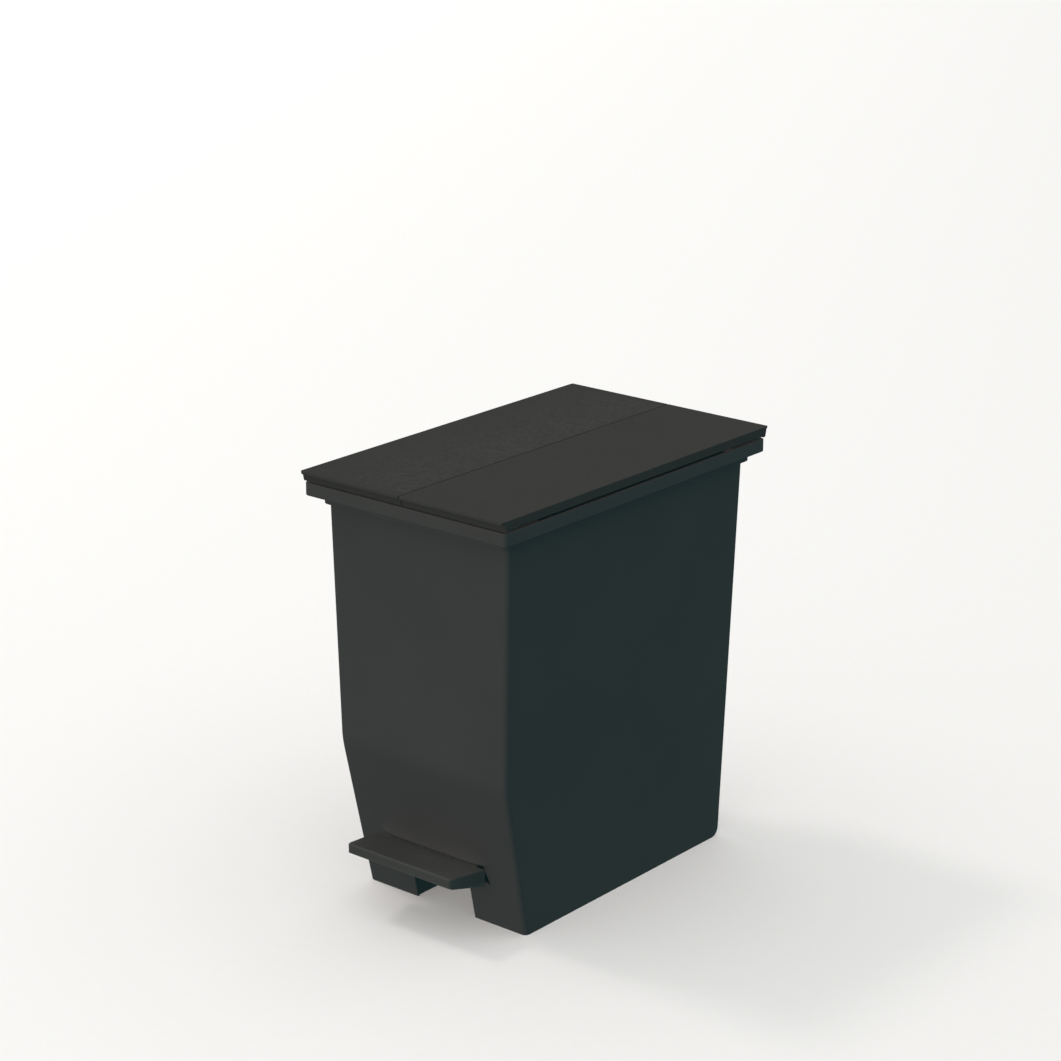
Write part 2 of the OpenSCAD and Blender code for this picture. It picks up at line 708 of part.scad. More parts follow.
rod_top = bar_top - 1.5;
module push_rod() {
    color("silver") placed() translate([0, rod_y, rod_bottom]) cylinder(r = rod_r, h = rod_top - rod_bottom);
}
module rod_foot() {
    r = rod_r + 2.5;
    z0 = tail_z + foot_gap;
    color("#e4e2da") placed() translate([0, rod_y, z0]) difference() {
        union() {
            cylinder(r1 = r - 1.5, r2 = r, h = 1.5);
            translate([0, 0, 1.5]) cylinder(r = r, h = foot_h - 1.5);
        }
        translate([0, 0, rod_bottom - z0]) cylinder(r = rod_r + run_fit, h = 20);
    }
}
module crosshead() {
    color("#9a9c9d") placed() translate([0, rod_y, 0]) difference() {
        union() {
            block(-bar_hw, bar_hw, -bar_w / 2, bar_w / 2, bar_top - bar_h, bar_top);
            translate([0, 0, bar_top - 18]) cylinder(r = rod_r + 3.2, h = 18 - eps);
        }
        translate([0, 0, bar_top - 19]) cylinder(r = rod_r + run_fit, h = rod_top - bar_top + 19);
    }
}

lower_guide_z = floor_z + floor_t;
upper_guide_z = bar_top - 18 - guide_h - 12;
module guide_bore() {
    translate([0, rod_y, -1]) cylinder(r = rod_r + run_fit, h = guide_h + 2);
}
module rod_guide_lower() {
    color("#e4e2da") placed() translate([0, 0, lower_guide_z]) difference() {
        union() {
            block(-guide_hw, guide_hw, rod_y - 6, rod_y + 6, 0, 4);
            translate([0, rod_y, 0]) cylinder(r = rod_r + 3, h = guide_h);
        }
        guide_bore();
        for (s = [-1, 1])
            translate([s * guide_screw_x, rod_y, -1]) cylinder(r = screw_hole, h = 6);
    }
}
module lower_guide_screws() {
    color("silver") placed()
        for (s = [-1, 1])
            translate([s * guide_screw_x, rod_y, lower_guide_z + 4]) screw(floor_t + 8);
}
module rod_guide_upper() {
    y_seat = rear_y(upper_guide_z) - wall - clear;
    color("#e4e2da") placed() translate([0, 0, upper_guide_z]) difference() {
        union() {
            block(-guide_hw, guide_hw, y_seat - 5, y_seat, 0, guide_h);
            block(-rod_r - 2, rod_r + 2, rod_y, y_seat, 0, guide_h);
            translate([0, rod_y, 0]) cylinder(r = rod_r + 3, h = guide_h);
        }
        guide_bore();
        for (s = [-1, 1])
            translate([s * guide_screw_x, y_seat, guide_h / 2]) y_rod(screw_hole, 20);
    }
}
module upper_guide_screws() {
    z = upper_guide_z + guide_h / 2;
    color("silver") placed()
        for (s = [-1, 1])
            translate([s * guide_screw_x, rear_y(z) + 0.25, z]) rotate([-90, 0, 0]) screw(wall + 5);
}
module rod_cover() {
    z0 = lower_guide_z + guide_h + 2;
    z1 = upper_guide_z - 2;
    y_seat = rear_y(z0) - wall - clear;
    front = rod_y - rod_r - 5;
    color("#343534") placed() difference() {
        block(-guide_hw, guide_hw, front, y_seat, z0, z1);
        block(-guide_hw + 1.8, guide_hw - 1.8, front + 1.8, y_seat + 1, z0 - 1, z1 + 1);
    }
}

/* ---------- inner bucket ---------- */

bucket_top = frame_z - bucket_drop;
bucket_rear = rod_y - rod_r - 5 - bucket_gap;
module inner_bucket() {
    z0 = floor_z + floor_t + clear;
    t0 = wall + bucket_gap;
    lip = t0 - 1.6;
    lip_z = bucket_top - 5;
    color("#6c7072") placed() difference() {
        skin(concat([for (z = concat([z0], knee_levels, [lip_z])) ring(z, t0, bucket_rear, false)],
            [for (z = [lip_z, bucket_top]) ring(z, lip, bucket_rear + 1.4, false)],
            [for (z = backwards(concat([z0 + bucket_t], knee_levels, [bucket_top])))
                ring(z, t0 + bucket_t, bucket_rear - bucket_t, false)]));
        // finger grips in the middle of each long side of the rim
        for (s = [-1, 1])
            translate([s * body_hw, 0, bucket_top]) rotate([0, 90, 0])
                linear_extrude(40, center = true) square([2 * 14, grip_w], center = true);
    }
}

body();
frame();
lid_left();
lid_right();
hinge_pin_left_front();
hinge_pin_left_rear();
hinge_pin_right_front();
hinge_pin_right_rear();
lift_arm_left();
lift_arm_right();
arm_screws_left();
arm_screws_right();
lid_buffers();
pedal();
pedal_screws();
lever();
lever_stop();
pivot_pin();
pivot_clips();
push_rod();
rod_foot();
crosshead();
rod_guide_lower();
rod_guide_upper();
lower_guide_screws();
upper_guide_screws();
rod_cover();
inner_bucket();
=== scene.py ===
"""Looks of the twin-lid pedal bin: moulded shell, frame, lids, pedal and bucket, and the finish of every part."""
import json
import math

import bmesh
import bpy
import numpy as np
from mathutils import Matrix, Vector


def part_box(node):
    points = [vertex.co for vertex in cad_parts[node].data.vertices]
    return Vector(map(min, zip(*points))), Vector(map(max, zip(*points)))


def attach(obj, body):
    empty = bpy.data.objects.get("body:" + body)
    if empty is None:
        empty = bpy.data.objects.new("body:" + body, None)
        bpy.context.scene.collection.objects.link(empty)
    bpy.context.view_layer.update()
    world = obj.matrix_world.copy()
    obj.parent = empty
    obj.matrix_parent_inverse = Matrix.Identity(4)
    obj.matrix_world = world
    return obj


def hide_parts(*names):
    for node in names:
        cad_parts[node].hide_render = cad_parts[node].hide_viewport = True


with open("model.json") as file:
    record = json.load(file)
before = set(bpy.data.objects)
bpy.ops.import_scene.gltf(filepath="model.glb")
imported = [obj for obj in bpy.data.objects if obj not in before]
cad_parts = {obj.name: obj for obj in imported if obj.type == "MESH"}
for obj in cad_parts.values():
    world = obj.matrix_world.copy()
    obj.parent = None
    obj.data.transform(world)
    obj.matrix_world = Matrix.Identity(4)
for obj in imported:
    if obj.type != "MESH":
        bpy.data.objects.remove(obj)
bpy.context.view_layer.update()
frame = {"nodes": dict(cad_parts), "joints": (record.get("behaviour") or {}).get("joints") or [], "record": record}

MM = 0.001

# ---------------------------------------------------------------- sizes, in metres

lid_lo, lid_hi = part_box("lid_right")
body_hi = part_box("body")[1]
frame_lo, frame_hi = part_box("frame")
pedal_lo, pedal_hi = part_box("pedal")
bucket_lo, bucket_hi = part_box("inner_bucket")
deck_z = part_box("lid_buffers")[0].z
joints = {j["name"]: j for j in frame["joints"]}
hinge_x, mid_y, hinge_z = joints["lid_right_hinge"]["pos_m"]
pivot_y, pivot_z = joints["pedal_hinge"]["pos_m"][1:]
pivot_y -= mid_y
rod_lo, rod_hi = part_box("push_rod")
rod_y = (rod_lo.y + rod_hi.y) / 2 - mid_y

# Lids and frame
seam_x = lid_lo.x
lid_hw = lid_hi.x
lid_hd = (lid_hi.y - lid_lo.y) / 2
top_z = lid_hi.z
plate_z = top_z - 2.9 * MM
lid_wall = 2.2 * MM
lid_wall_z = top_z - 8.6 * MM
skirt_z = deck_z + 1.4 * MM
nosing = 2 * MM
skirt_lean = 2.6 * MM
rim_z = body_hi.z
frame_hw = frame_hi.x
frame_hd = (frame_hi.y - frame_lo.y) / 2
frame_r = 5 * MM
collar_z = frame_lo.z

# Body
body_hw = body_hi.x
body_hd = body_hi.y - mid_y
wall = 2.4 * MM
fit = 0.3 * MM
side_draft = 10.25 * MM
rear_draft = 10.8 * MM
front_draft = 35.2 * MM
knee_z = 151.6 * MM
knee_draft = 2.7 * MM
knee_soft = 9 * MM
corner_r = 5.3 * MM
heel_r = 8 * MM
floor_z = 66 * MM
floor_top = 68.5 * MM
notch_hw = 35.25 * MM
foot_web = 30 * MM
slot_z = 44.5 * MM
slot_hw = 62 * MM
slot_top_hw = 56 * MM
hood_z = 65 * MM
slot_top = hood_z - fit
hood_h = 58 * MM
hood_hw = 66 * MM
hood_out = 6.4 * MM

# Openings in the frame
open_hw = body_hw - wall - fit - 2 * MM
open_front = -body_hd + wall + fit + 2 * MM
open_rear = body_hd - 36 * MM
slot_half = 8 * MM
eye_l = 7 * MM
knuckle_l = 4 * MM
eye_y = lid_hd - nosing - skirt_lean - lid_wall - 0.5 * MM - knuckle_l - fit - eye_l / 2

# ---------------------------------------------------------------- surfaces from arrays


def arc(n, start=0.0, end=90.0):
    """n + 1 angles in radians from start to end, given in degrees, evenly spaced."""
    return np.radians(np.linspace(start, end, n + 1))


def blocks(low, high, quads):
    """Faces between two equal rows of point numbers: (low i, low i+1, high i+1, high i) for each i in quads."""
    a, b, c, d = low[quads], np.roll(low, -1)[quads], np.roll(high, -1)[quads], high[quads]
    return np.stack([a, b, c, d], 1)


def loft(rings, ends="cap"):
    """Skin over rings of points, each ring closed: face (k, i) joins points i and i+1 of ring k to those of ring k+1.
    ends is cap for a flat lid on the first and the last ring, or loop where the last ring joins the first."""
    rings = np.asarray(rings, float)
    m, n = rings.shape[:2]
    number = np.arange(m * n).reshape(m, n)
    around = np.arange(n)
    last = m if ends == "loop" else m - 1
    faces = [f.tolist() for k in range(last) for f in blocks(number[k], number[(k + 1) % m], around)]
    if ends == "cap":
        faces += [number[0][::-1].tolist(), number[-1].tolist()]
    return rings.reshape(-1, 3), faces


def shell(outer, inner, keep, closed=True, base=False, crown=False):
    """Wall between two grids of points. Kept cells get a face on each grid, and each edge of the kept area
    gets a strip from the outer grid to the inner one. Columns wrap round where closed. With base, the first row
    of each grid is closed by a flat face instead of the strip; with crown, the last row has shrunk to a line."""
    rows, cols = outer.shape[:2]
    size = rows * cols
    a = np.arange(size).reshape(rows, cols)
    b = np.roll(a, -1, 1)
    low_l, low_r, high_r, high_l = a[:-1], b[:-1], b[1:], a[1:]
    if not closed:
        keep = keep.copy()
        keep[:, -1] = False
    faces = [np.stack([low_l, low_r, high_r, high_l], -1)[keep],
             np.stack([high_l, high_r, low_r, low_l], -1)[keep] + size]
    none = np.zeros((1, cols), bool)
    sides = [(low_r, low_l, keep & ~np.vstack([none, keep[:-1]])),
             (high_l, high_r, keep & ~np.vstack([keep[1:], none])),
             (low_l, high_l, keep & ~np.roll(keep, 1, 1)),
             (high_r, low_r, keep & ~np.roll(keep, -1, 1))]
    sides[0][2][0] &= not base
    sides[1][2][-1] &= not crown
    for p, q, edge in sides:
        faces.append(np.stack([p[edge], q[edge], q[edge] + size, p[edge] + size], -1))
    points = np.concatenate([outer.reshape(-1, 3), inner.reshape(-1, 3)])
    faces = np.concatenate(faces).tolist()
    if base:
        faces += [a[0][::-1].tolist(), (a[0] + size).tolist()]
    return points, faces


def join(*parts):
    """Several (points, faces) pairs as one."""
    points, faces, start = [], [], 0
    for p, f in parts:
        points.append(p)
        faces += [[i + start for i in face] for face in f]
        start += len(p)
    return np.concatenate(points), faces


def mirrored(part):
    """The part's mirror image across the middle plane, with its faces turned back outwards."""
    points, faces = part
    return points * (-1, 1, 1), [face[::-1] for face in faces]


def soften(points, radius, steps=3):
    """Outline with each corner replaced by a short parabola that starts and ends radius away from it,
    or at 45 % of the shorter side. radius is one number or one per point. The outline is closed."""
    points = np.asarray(points, float)
    radius = np.broadcast_to(radius, len(points))
    t = np.linspace(0, 1, steps + 1)[:, None]
    out = []
    for i, p in enumerate(points):
        back, on = points[i - 1] - p, points[(i + 1) % len(points)] - p
        back_l, on_l = max(np.linalg.norm(back), 1e-9), max(np.linalg.norm(on), 1e-9)
        cut = min(radius[i], 0.45 * back_l, 0.45 * on_l)
        p0, p1 = p + back / back_l * cut, p + on / on_l * cut
        out.append((1 - t) ** 2 * p0 + 2 * t * (1 - t) * p + t ** 2 * p1)
    return np.concatenate(out)


def rounded_rect(hw, front, rear, r, z, corner=6):
    """Rectangle with quarter-circle corners: each corner's centre + r (cos a, sin a), taken in turn round it."""
    right, left, ahead, behind = hw - r, r - hw, front + r, rear - r
    turns = []
    for cx, cy, start in ((right, ahead, -90), (right, behind, 0), (left, behind, 90), (left, ahead, 180)):
        a = arc(corner, start, start + 90)
        turns.append(np.stack([cx + r * np.cos(a), cy + r * np.sin(a)], -1))
    xy = np.concatenate(turns)
    return np.column_stack([xy, np.full(len(xy), z)])


def bar(profile, axis, low, high, edge=0.4 * MM):
    """Flat profile carried straight along x or y from low to high, its two ends drawn in by the edge rounding:
    ring = centre + (profile - centre) scaled so that each side moves in by edge (1 - cos a)."""
    profile = np.asarray(profile, float)
    centre = (profile.min(0) + profile.max(0)) / 2
    half = (profile.max(0) - profile.min(0)) / 2
    sign = 1 if high > low else -1
    quarter = arc(3)
    draw = edge * (1 - np.sin(quarter))
    step = sign * edge * (1 - np.cos(quarter))
    rings = []
    for at, inset in [*zip(low + step, draw), *zip((high - step)[::-1], draw[::-1])]:
        flat = centre + (profile - centre) * (1 - inset / np.maximum(half, 2 * inset + 1e-9))
        along = np.full(len(flat), at)
        rings.append(np.column_stack([along, flat] if axis == "x" else [flat[:, 0], along, flat[:, 1]]))
    return loft(rings)


def bored(outline, centre, bore, axis, low, high):
    """Plate with a round hole: the outline and the hole, each at low and at high, joined in a loop.
    Hole point = centre + bore (cos a, sin a), with a the direction of the outline's own point."""
    outline = np.asarray(outline, float)
    a = np.arctan2(outline[:, 1] - centre[1], outline[:, 0] - centre[0])
    hole = np.column_stack([centre[0] + bore * np.cos(a), centre[1] + bore * np.sin(a)])
    rings = []
    for flat, at in ((outline, low), (outline, high), (hole, high), (hole, low)):
        along = np.full(len(flat), at)
        rings.append(np.column_stack([along, flat] if axis == "x" else [flat[:, 0], along, flat[:, 1]]))
    return loft(rings, "loop")


def dense(outline, step):
    """Closed outline with points added so that none is more than step from the next."""
    outline = np.asarray(outline, float)
    out = []
    for p, q in zip(outline, np.roll(outline, -1, 0)):
        n = max(1, math.ceil(np.linalg.norm(q - p) / step))
        out.append(p + (q - p) * np.arange(n)[:, None] / n)
    return np.concatenate(out)


made, own_slot = {}, {}
sharp_angle = math.radians(35)


def piece(name, part, body, slot, replaces=()):
    """Mesh object from points and faces in the lids' own frame, moved back by mid_y into the model's.
    Doubles are merged, folded cells and loose points dropped, and faces turned outwards."""
    points, faces = part
    mesh = bpy.data.meshes.new(name)
    mesh.from_pydata((points + (0, mid_y, 0)).tolist(), [], faces)
    bm = bmesh.new()
    bm.from_mesh(mesh)
    bmesh.ops.remove_doubles(bm, verts=bm.verts, dist=0.005 * MM)
    bmesh.ops.dissolve_degenerate(bm, edges=bm.edges, dist=0.004 * MM)
    bmesh.ops.delete(bm, geom=[v for v in bm.verts if not v.link_faces], context="VERTS")
    bmesh.ops.recalc_face_normals(bm, faces=bm.faces)
    bm.to_mesh(mesh)
    bm.free()
    mesh.shade_smooth()
    mesh.set_sharp_from_angle(angle=sharp_angle)
    obj = bpy.data.objects.new(name, mesh)
    bpy.context.scene.collection.objects.link(obj)
    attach(obj, body)
    if replaces:
        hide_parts(*replaces)
    made[name], own_slot[name] = obj, slot
    return obj


def carve(obj, cutters):
    """Takes closed cutter shapes out of a piece and keeps the result as its own mesh."""
    for k, part in enumerate(cutters):
        points, faces = part
        mesh = bpy.data.meshes.new(f"{obj.name}_cut_{k}")
        mesh.from_pydata((points + (0, mid_y, 0)).tolist(), [], faces)
        bm = bmesh.new()
        bm.from_mesh(mesh)
        bmesh.ops.recalc_face_normals(bm, faces=bm.faces)
        bm.to_mesh(mesh)
        bm.free()
        tool = bpy.data.objects.new(mesh.name, mesh)
        bpy.context.scene.collection.objects.link(tool)
        cut = obj.modifiers.new("cut", "BOOLEAN")
        cut.operation, cut.solver, cut.object = "DIFFERENCE", "EXACT", tool
        bpy.context.view_layer.update()
        done = bpy.data.meshes.new_from_object(obj.evaluated_get(bpy.context.evaluated_depsgraph_get()))
        obj.modifiers.clear()
        old, obj.data = obj.data, done
        bpy.data.meshes.remove(old)
        bpy.data.objects.remove(tool)
        bpy.data.meshes.remove(mesh)
    obj.data.shade_smooth()
    obj.data.set_sharp_from_angle(angle=sharp_angle)


# ---------------------------------------------------------------- body


def rise(z):
    """Share of the draft left at height z: 1 - z / rim height."""
    return 1 - z / rim_z


def side_in(z):
    return side_draft * rise(z)


def rear_line(z):
    """Rear wall: its draft, and a quarter circle of heel_r at the floor."""
    up = np.clip(heel_r - z, 0, heel_r)
    return body_hd - rear_draft * rise(z) - (heel_r - np.sqrt(heel_r ** 2 - up ** 2))


def front_line(z):
    """Front wall: two straight slopes that meet at the knee through a parabola 2 knee_soft high."""
    upper = knee_draft / (rim_z - knee_z)
    lower = (front_draft - knee_draft) / knee_z
    t = knee_z - z
    step = np.where(t > knee_soft, t, np.where(t < -knee_soft, 0, (t + knee_soft) ** 2 / (4 * knee_soft)))
    return -body_hd + upper * (rim_z - z) + (lower - upper) * step


def hood(x, z):
    """How far the hood stands out of the front wall: hood_out (1 - u^6) flare(v / sqrt(1 - u^2)), with u = x / hood_hw,
    v = height above its lower edge / hood_h, and flare(t) = 0.4 (1 - t)^2 + 0.6 (1 - t)^5."""
    u = np.clip(np.abs(x) / hood_hw, 0, 1)
    v = np.maximum(z - hood_z, 0) / hood_h
    t = np.clip(v / np.maximum(np.sqrt(1 - u ** 2), 0.05), 0, 1)
    return hood_out * (1 - u ** 6) * (0.4 * (1 - t) ** 2 + 0.6 * (1 - t) ** 5)


def steps(*stops):
    """Heights from (first, next, count, next, count, ...), each stretch evenly divided."""
    out = [np.array([stops[0]])]
    at = stops[0]
    for to, n in zip(stops[1::2], stops[2::2]):
        out.append(np.linspace(at, to, n + 1)[1:])
        at = to
    return np.concatenate(out)


NOTCH_COLS, SLOT_COLS, FRONT_COLS, CORNER, SIDE_COLS, REAR_COLS = 14, 12, 12, 8, (8, 12, 8), 12
HALF = NOTCH_COLS + SLOT_COLS + FRONT_COLS


def wall_grid(z, inset, hood_part, rear_limit=None, least_r=1.5 * MM):
    """Rings round the body at heights z, inset from its outer face. Front columns stand at the notch's edge and at
    the slot's edge; then come a corner arc, the side, the next corner, the rear, and the same back on the left."""
    z = np.asarray(z, float)[:, None]
    inset = np.broadcast_to(np.asarray(inset, float).reshape(-1, 1), z.shape)
    hood_part = np.broadcast_to(np.asarray(hood_part, float).reshape(-1, 1), z.shape)
    hw = body_hw - side_in(z) - inset
    front = front_line(z) + inset
    rear = rear_line(z) - inset
    if rear_limit is not None:
        rear = np.minimum(rear, rear_limit)
    r = np.maximum(corner_r - inset, least_r)
    slope = np.clip((z - slot_z) / (slot_top - slot_z), 0, 1)
    slot_edge = slot_hw + (slot_top_hw - slot_hw) * slope
    t1, t2, t3 = (np.linspace(0, 1, n + 1)[None, 1:] for n in (NOTCH_COLS, SLOT_COLS, FRONT_COLS))
    half = np.concatenate([notch_hw * t1 + 0 * z, notch_hw + (slot_edge - notch_hw) * t2,
                           slot_edge + (hw - r - slot_edge) * t3], 1)
    x = np.concatenate([-half[:, ::-1], 0 * z, half], 1)
    runs = [np.stack([x, front - hood(x, z) * hood_part, 0 * x + z], -1)]

    def run(px, py):
        px, py = np.broadcast_arrays(px, py)
        runs.append(np.stack([px, py, 0 * px + z], -1))

    a = arc(CORNER)[None, 1:]
    run(hw - r + r * np.sin(a), front + r - r * np.cos(a))
    lo, hi = front + r, rear - r
    stops = [lo, np.full_like(lo, -35 * MM), np.full_like(lo, 35 * MM), hi]
    side = [p + (q - p) * np.linspace(0, 1, n + 1)[None, 1:] for p, q, n in zip(stops, stops[1:], SIDE_COLS)]
    side = np.concatenate(side, 1)
    run(hw + 0 * side, side)
    run(hw - r + r * np.cos(a), rear - r + r * np.sin(a))
    t = np.linspace(0, 1, REAR_COLS + 1)[None, 1:]
    run((hw - r) * (1 - 2 * t), rear + 0 * t)
    run(-hw + r - r * np.sin(a), rear - r + r * np.cos(a))
    run(-hw + 0 * side, np.concatenate([side[:, ::-1][:, 1:], lo], 1))
    run(-hw + r - r * np.cos(a[:, :-1]), front + r - r * np.sin(a[:, :-1]))
    return np.concatenate(runs, 1)


heel_rows = heel_r * (1 - np.cos(arc(6)))
lip_r = 0.9 * MM
lip = arc(4)
below = np.concatenate([heel_rows, steps(heel_r, slot_z, 12)[1:], steps(slot_z, slot_top, 7)[1:]])
lip_rows = slot_top + 0.001 * MM + lip_r * (1 - np.cos(lip))
lip_out = np.concatenate([[0.0], (hood_out - lip_r * (1 - np.sin(lip))) / hood_out])
above = steps(hood_z + 2 * MM, hood_z + hood_h, 26, knee_z - knee_soft, 6, knee_z + knee_soft, 10,
              0.27, 6, rim_z, 8)
rows = np.concatenate([below, lip_rows, above])
out_part = np.concatenate([np.zeros(len(below)), lip_out[1:], np.ones(len(above))])
outer = wall_grid(rows, 0, out_part)
in_part = np.clip((rows - floor_top) / (4 * MM), 0, 1)
inner = wall_grid(rows, wall, in_part)
cols = np.arange(outer.shape[1])
mid_row = (rows[:-1] + rows[1:]) / 2
keep = np.ones((len(rows) - 1, outer.shape[1]), bool)
open_half = np.where(mid_row < slot_z, NOTCH_COLS, np.where(mid_row < slot_top, NOTCH_COLS + SLOT_COLS, 0))
keep[(cols >= HALF - open_half[:, None]) & (cols < HALF + open_half[:, None])] = False

body_shell = piece("body_shell", shell(outer, inner, keep), "body", "anthracite_body", ["body"])
edge = body_shell.modifiers.new("edges", "BEVEL")
edge.width, edge.segments, edge.limit_method, edge.angle_limit = 0.45 * MM, 2, "ANGLE", math.radians(55)
edge.harden_normals = True

# Raised floor, with the hole that the push rod comes through
slab = [wall_grid([z], wall - fit, 0)[0] for z in (floor_z, floor_top)]
raised_floor = piece("raised_floor", loft(slab), "body", "anthracite_body")
rod_hole = 4.5 * MM
hole = [rounded_rect(rod_hole, rod_y - rod_hole, rod_y + rod_hole, rod_hole - 0.01 * MM, z, 8)
        for z in (floor_z - MM, floor_top + MM)]
carve(raised_floor, [loft(hole)])

# Under the floor: pivot ears, screw bosses for the rod guide and a web behind each front foot
ear_x, ear_t, ear_r, bore = 45.3 * MM, 6 * MM, 6.5 * MM, 3.05 * MM
a = arc(12, 180, 360)
ear = np.concatenate([np.column_stack([pivot_y + ear_r * np.cos(a), pivot_z + ear_r * np.sin(a)]),
                      [[pivot_y + ear_r + 2 * MM, floor_z + fit], [pivot_y - ear_r - 2 * MM, floor_z + fit]]])
ear = dense(ear, 2 * MM)
ears = [bored(ear, (pivot_y, pivot_z), bore, "x", s * ear_x - ear_t / 2, s * ear_x + ear_t / 2) for s in (-1, 1)]
boss = [(4 * MM, floor_z + fit), (4 * MM, floor_z - 6.6 * MM), (3.6 * MM, floor_z - 7 * MM)]
bosses = [loft([rounded_rect(r, rod_y - r, rod_y + r, 0.999 * r, z, 6) + (s * 10.5 * MM, 0, 0) for r, z in boss])
          for s in (-1, 1)]
at_floor, at_slot = front_line(0), front_line(slot_z)
web = [(at_floor + wall - fit, 0.6 * MM), (at_floor + foot_web, 0.6 * MM), (at_floor + foot_web, floor_z + fit),
       (at_slot + wall + 8 * MM, floor_z + fit), (at_slot + wall + 8 * MM, slot_z),
       (at_slot + wall - fit, slot_z - 4 * MM)]
web = soften(web, [0.1 * MM, 3 * MM, 0.1 * MM, 0.1 * MM, 3 * MM, 0.1 * MM])
webs = [bar(web, "x", s * (notch_hw + fit), s * (notch_hw + fit + wall)) for s in (-1, 1)]
piece("pivot_ears", join(*ears, *bosses), "body", "anthracite_body")
piece("foot_webs", join(*webs), "body", "anthracite_body")

# ---------------------------------------------------------------- frame

flange = (frame_hw, -frame_hd, frame_hd, frame_r)
collar = (body_hw + 2.2 * MM, -body_hd - 6 * MM, body_hd + 8.8 * MM, corner_r + 2 * MM)
seat = (body_hw + fit, -body_hd - fit, body_hd + fit, corner_r)
guide_hd = body_hd - wall - fit
guide_out = (open_hw + 2 * MM, -guide_hd, guide_hd, 4 * MM)
guide_in = (open_hw, open_front, guide_hd - 2 * MM, 3 * MM)
mouth = (open_hw, open_front, open_rear, 6 * MM)
guide_z = rim_z - 6 * MM
section = [(*mouth, deck_z, 1.2), (*flange, deck_z, 0.9), (*flange, rim_z, 0.8), (*collar, rim_z, 2.4),
           (*collar, collar_z, 0.8), (*seat, collar_z, 0.2), (*seat, rim_z, 0.1), (*guide_out, rim_z, 0.1),
           (*guide_out, guide_z, 0.5), (*guide_in, guide_z, 0.5), (*guide_in, rim_z, 0.1), (*mouth, rim_z, 0.5)]
section = np.array(section)
path = soften(section[:, :5], section[:, 5] * MM, 4)
frame_rim = piece("frame_rim", loft([rounded_rect(*row[:4], row[4], 8) for row in path], "loop"),
                  "body", "anthracite_frame", ["frame"])
low_z, high_z = rim_z - MM, deck_z + MM
slot_box = [rounded_rect(hinge_x - 7 * MM, rod_y - slot_half, rod_y + slot_half, 3 * MM, z) for z in (low_z, high_z)]
trough_w, trough_y = (frame_hw - open_hw - 6 * MM) / 2, eye_y - eye_l - 30 * MM
troughs = []
for s in (-1, 1):
    shift = (s * (open_hw + frame_hw) / 2, 0, 0)
    wide = ((trough_w - 1.4 * MM, deck_z - 7 * MM), (trough_w - 0.4 * MM, deck_z - 6.6 * MM), (trough_w, high_z))
    troughs.append(loft([rounded_rect(w, -trough_y, trough_y, min(2 * MM, w - 0.1 * MM), z) + shift for w, z in wide]))
carve(frame_rim, [loft(slot_box), *troughs])

# Hinge eyes on feet that reach inwards from the pin
a = arc(16, -75, 135)
eye_r = 2.4 * MM
eye = np.concatenate([[(-9 * MM, deck_z - hinge_z - fit), (0.4 * MM, deck_z - hinge_z - fit)],
                      np.column_stack([eye_r * np.cos(a), eye_r * np.sin(a)]), [(-9 * MM, -1.4 * MM)]])
eye = dense(eye, 1 * MM)
eyes = []
for s in (-1, 1):
    low = s * eye_y - eye_l / 2
    part = bored(eye, (0, 0), 1.3 * MM, "y", low, low + eye_l)
    part = (part[0] + (hinge_x, 0, hinge_z), part[1])
    eyes += [part, mirrored(part)]
piece("hinge_eyes", join(*eyes), "body", "anthracite_frame")

# ---------------------------------------------------------------- lids

lid_fillet = 0.6 * MM
corner_in = 1.2 * MM


def lid_tray():
    """Right-hand lid as sections carried from front to rear. Each section runs over the top, down the outer wall,
    back under the plate and round the lip along the seam; at the ends its underside follows the leaning skirt.
    The last 3 mm at each end draw the outer wall in, to corner_in at the tip, which rounds the corner in plan."""
    front_top = lid_hd - nosing
    low = front_top - skirt_lean
    lip_z = plate_z - 4 * MM
    notch = (eye_y - eye_l / 2 - fit, eye_y + eye_l / 2 + fit)
    over_eye = hinge_z + 0.4 * MM
    back_y = front_top - lid_wall - 0.6 * MM
    lean = (front_top - 0.6 * MM, plate_z - 0.1 * MM)
    # top y, outer wall's y and lower edge, plate's y and underside, seam lip's y and lower edge
    half = [(lid_hd, lid_hd, plate_z, lid_hd, plate_z, lid_hd, plate_z),
            (lid_hd - 1 * MM, *lean, *lean, *lean),
            (lid_hd - 3 * MM, low, skirt_z, low, skirt_z, low, skirt_z)]
    inside = low - lid_wall
    half += [(lid_hd - 5 * MM, inside, skirt_z, inside, skirt_z, inside, skirt_z),
             (lid_hd - 7 * MM, inside, lid_wall_z, back_y, plate_z, inside - 0.5 * MM, lip_z)]
    for y, z in ((notch[1], lid_wall_z), (notch[1], over_eye), (notch[0], over_eye), (notch[0], lid_wall_z)):
        half.append((y, y, z, y, plate_z, y, lip_z))
    half = np.array(half)
    rear = half[::-1]
    ahead = half.copy()
    ahead[:, [0, 1, 3, 5]] *= -1
    rings, cut = [], 0.7 * MM
    for yt, yw, zw, yp, zp, ys, zs in np.concatenate([ahead, rear]):
        outer_x = lid_hw - np.interp(lid_hd - abs(yt), (0, 1 * MM, 3 * MM), (corner_in, corner_in / 4, 0))
        rings.append([(seam_x, yt, top_z), (outer_x, yt, top_z), (outer_x, yw, zw + cut), (outer_x - cut, yw, zw),
                      (lid_hw - lid_wall, yw, zw), (lid_hw - lid_wall, yp, zp), (seam_x + lid_wall, yp, zp),
                      (seam_x + lid_wall, ys, zs), (seam_x, ys, zs)])
    return loft(rings)


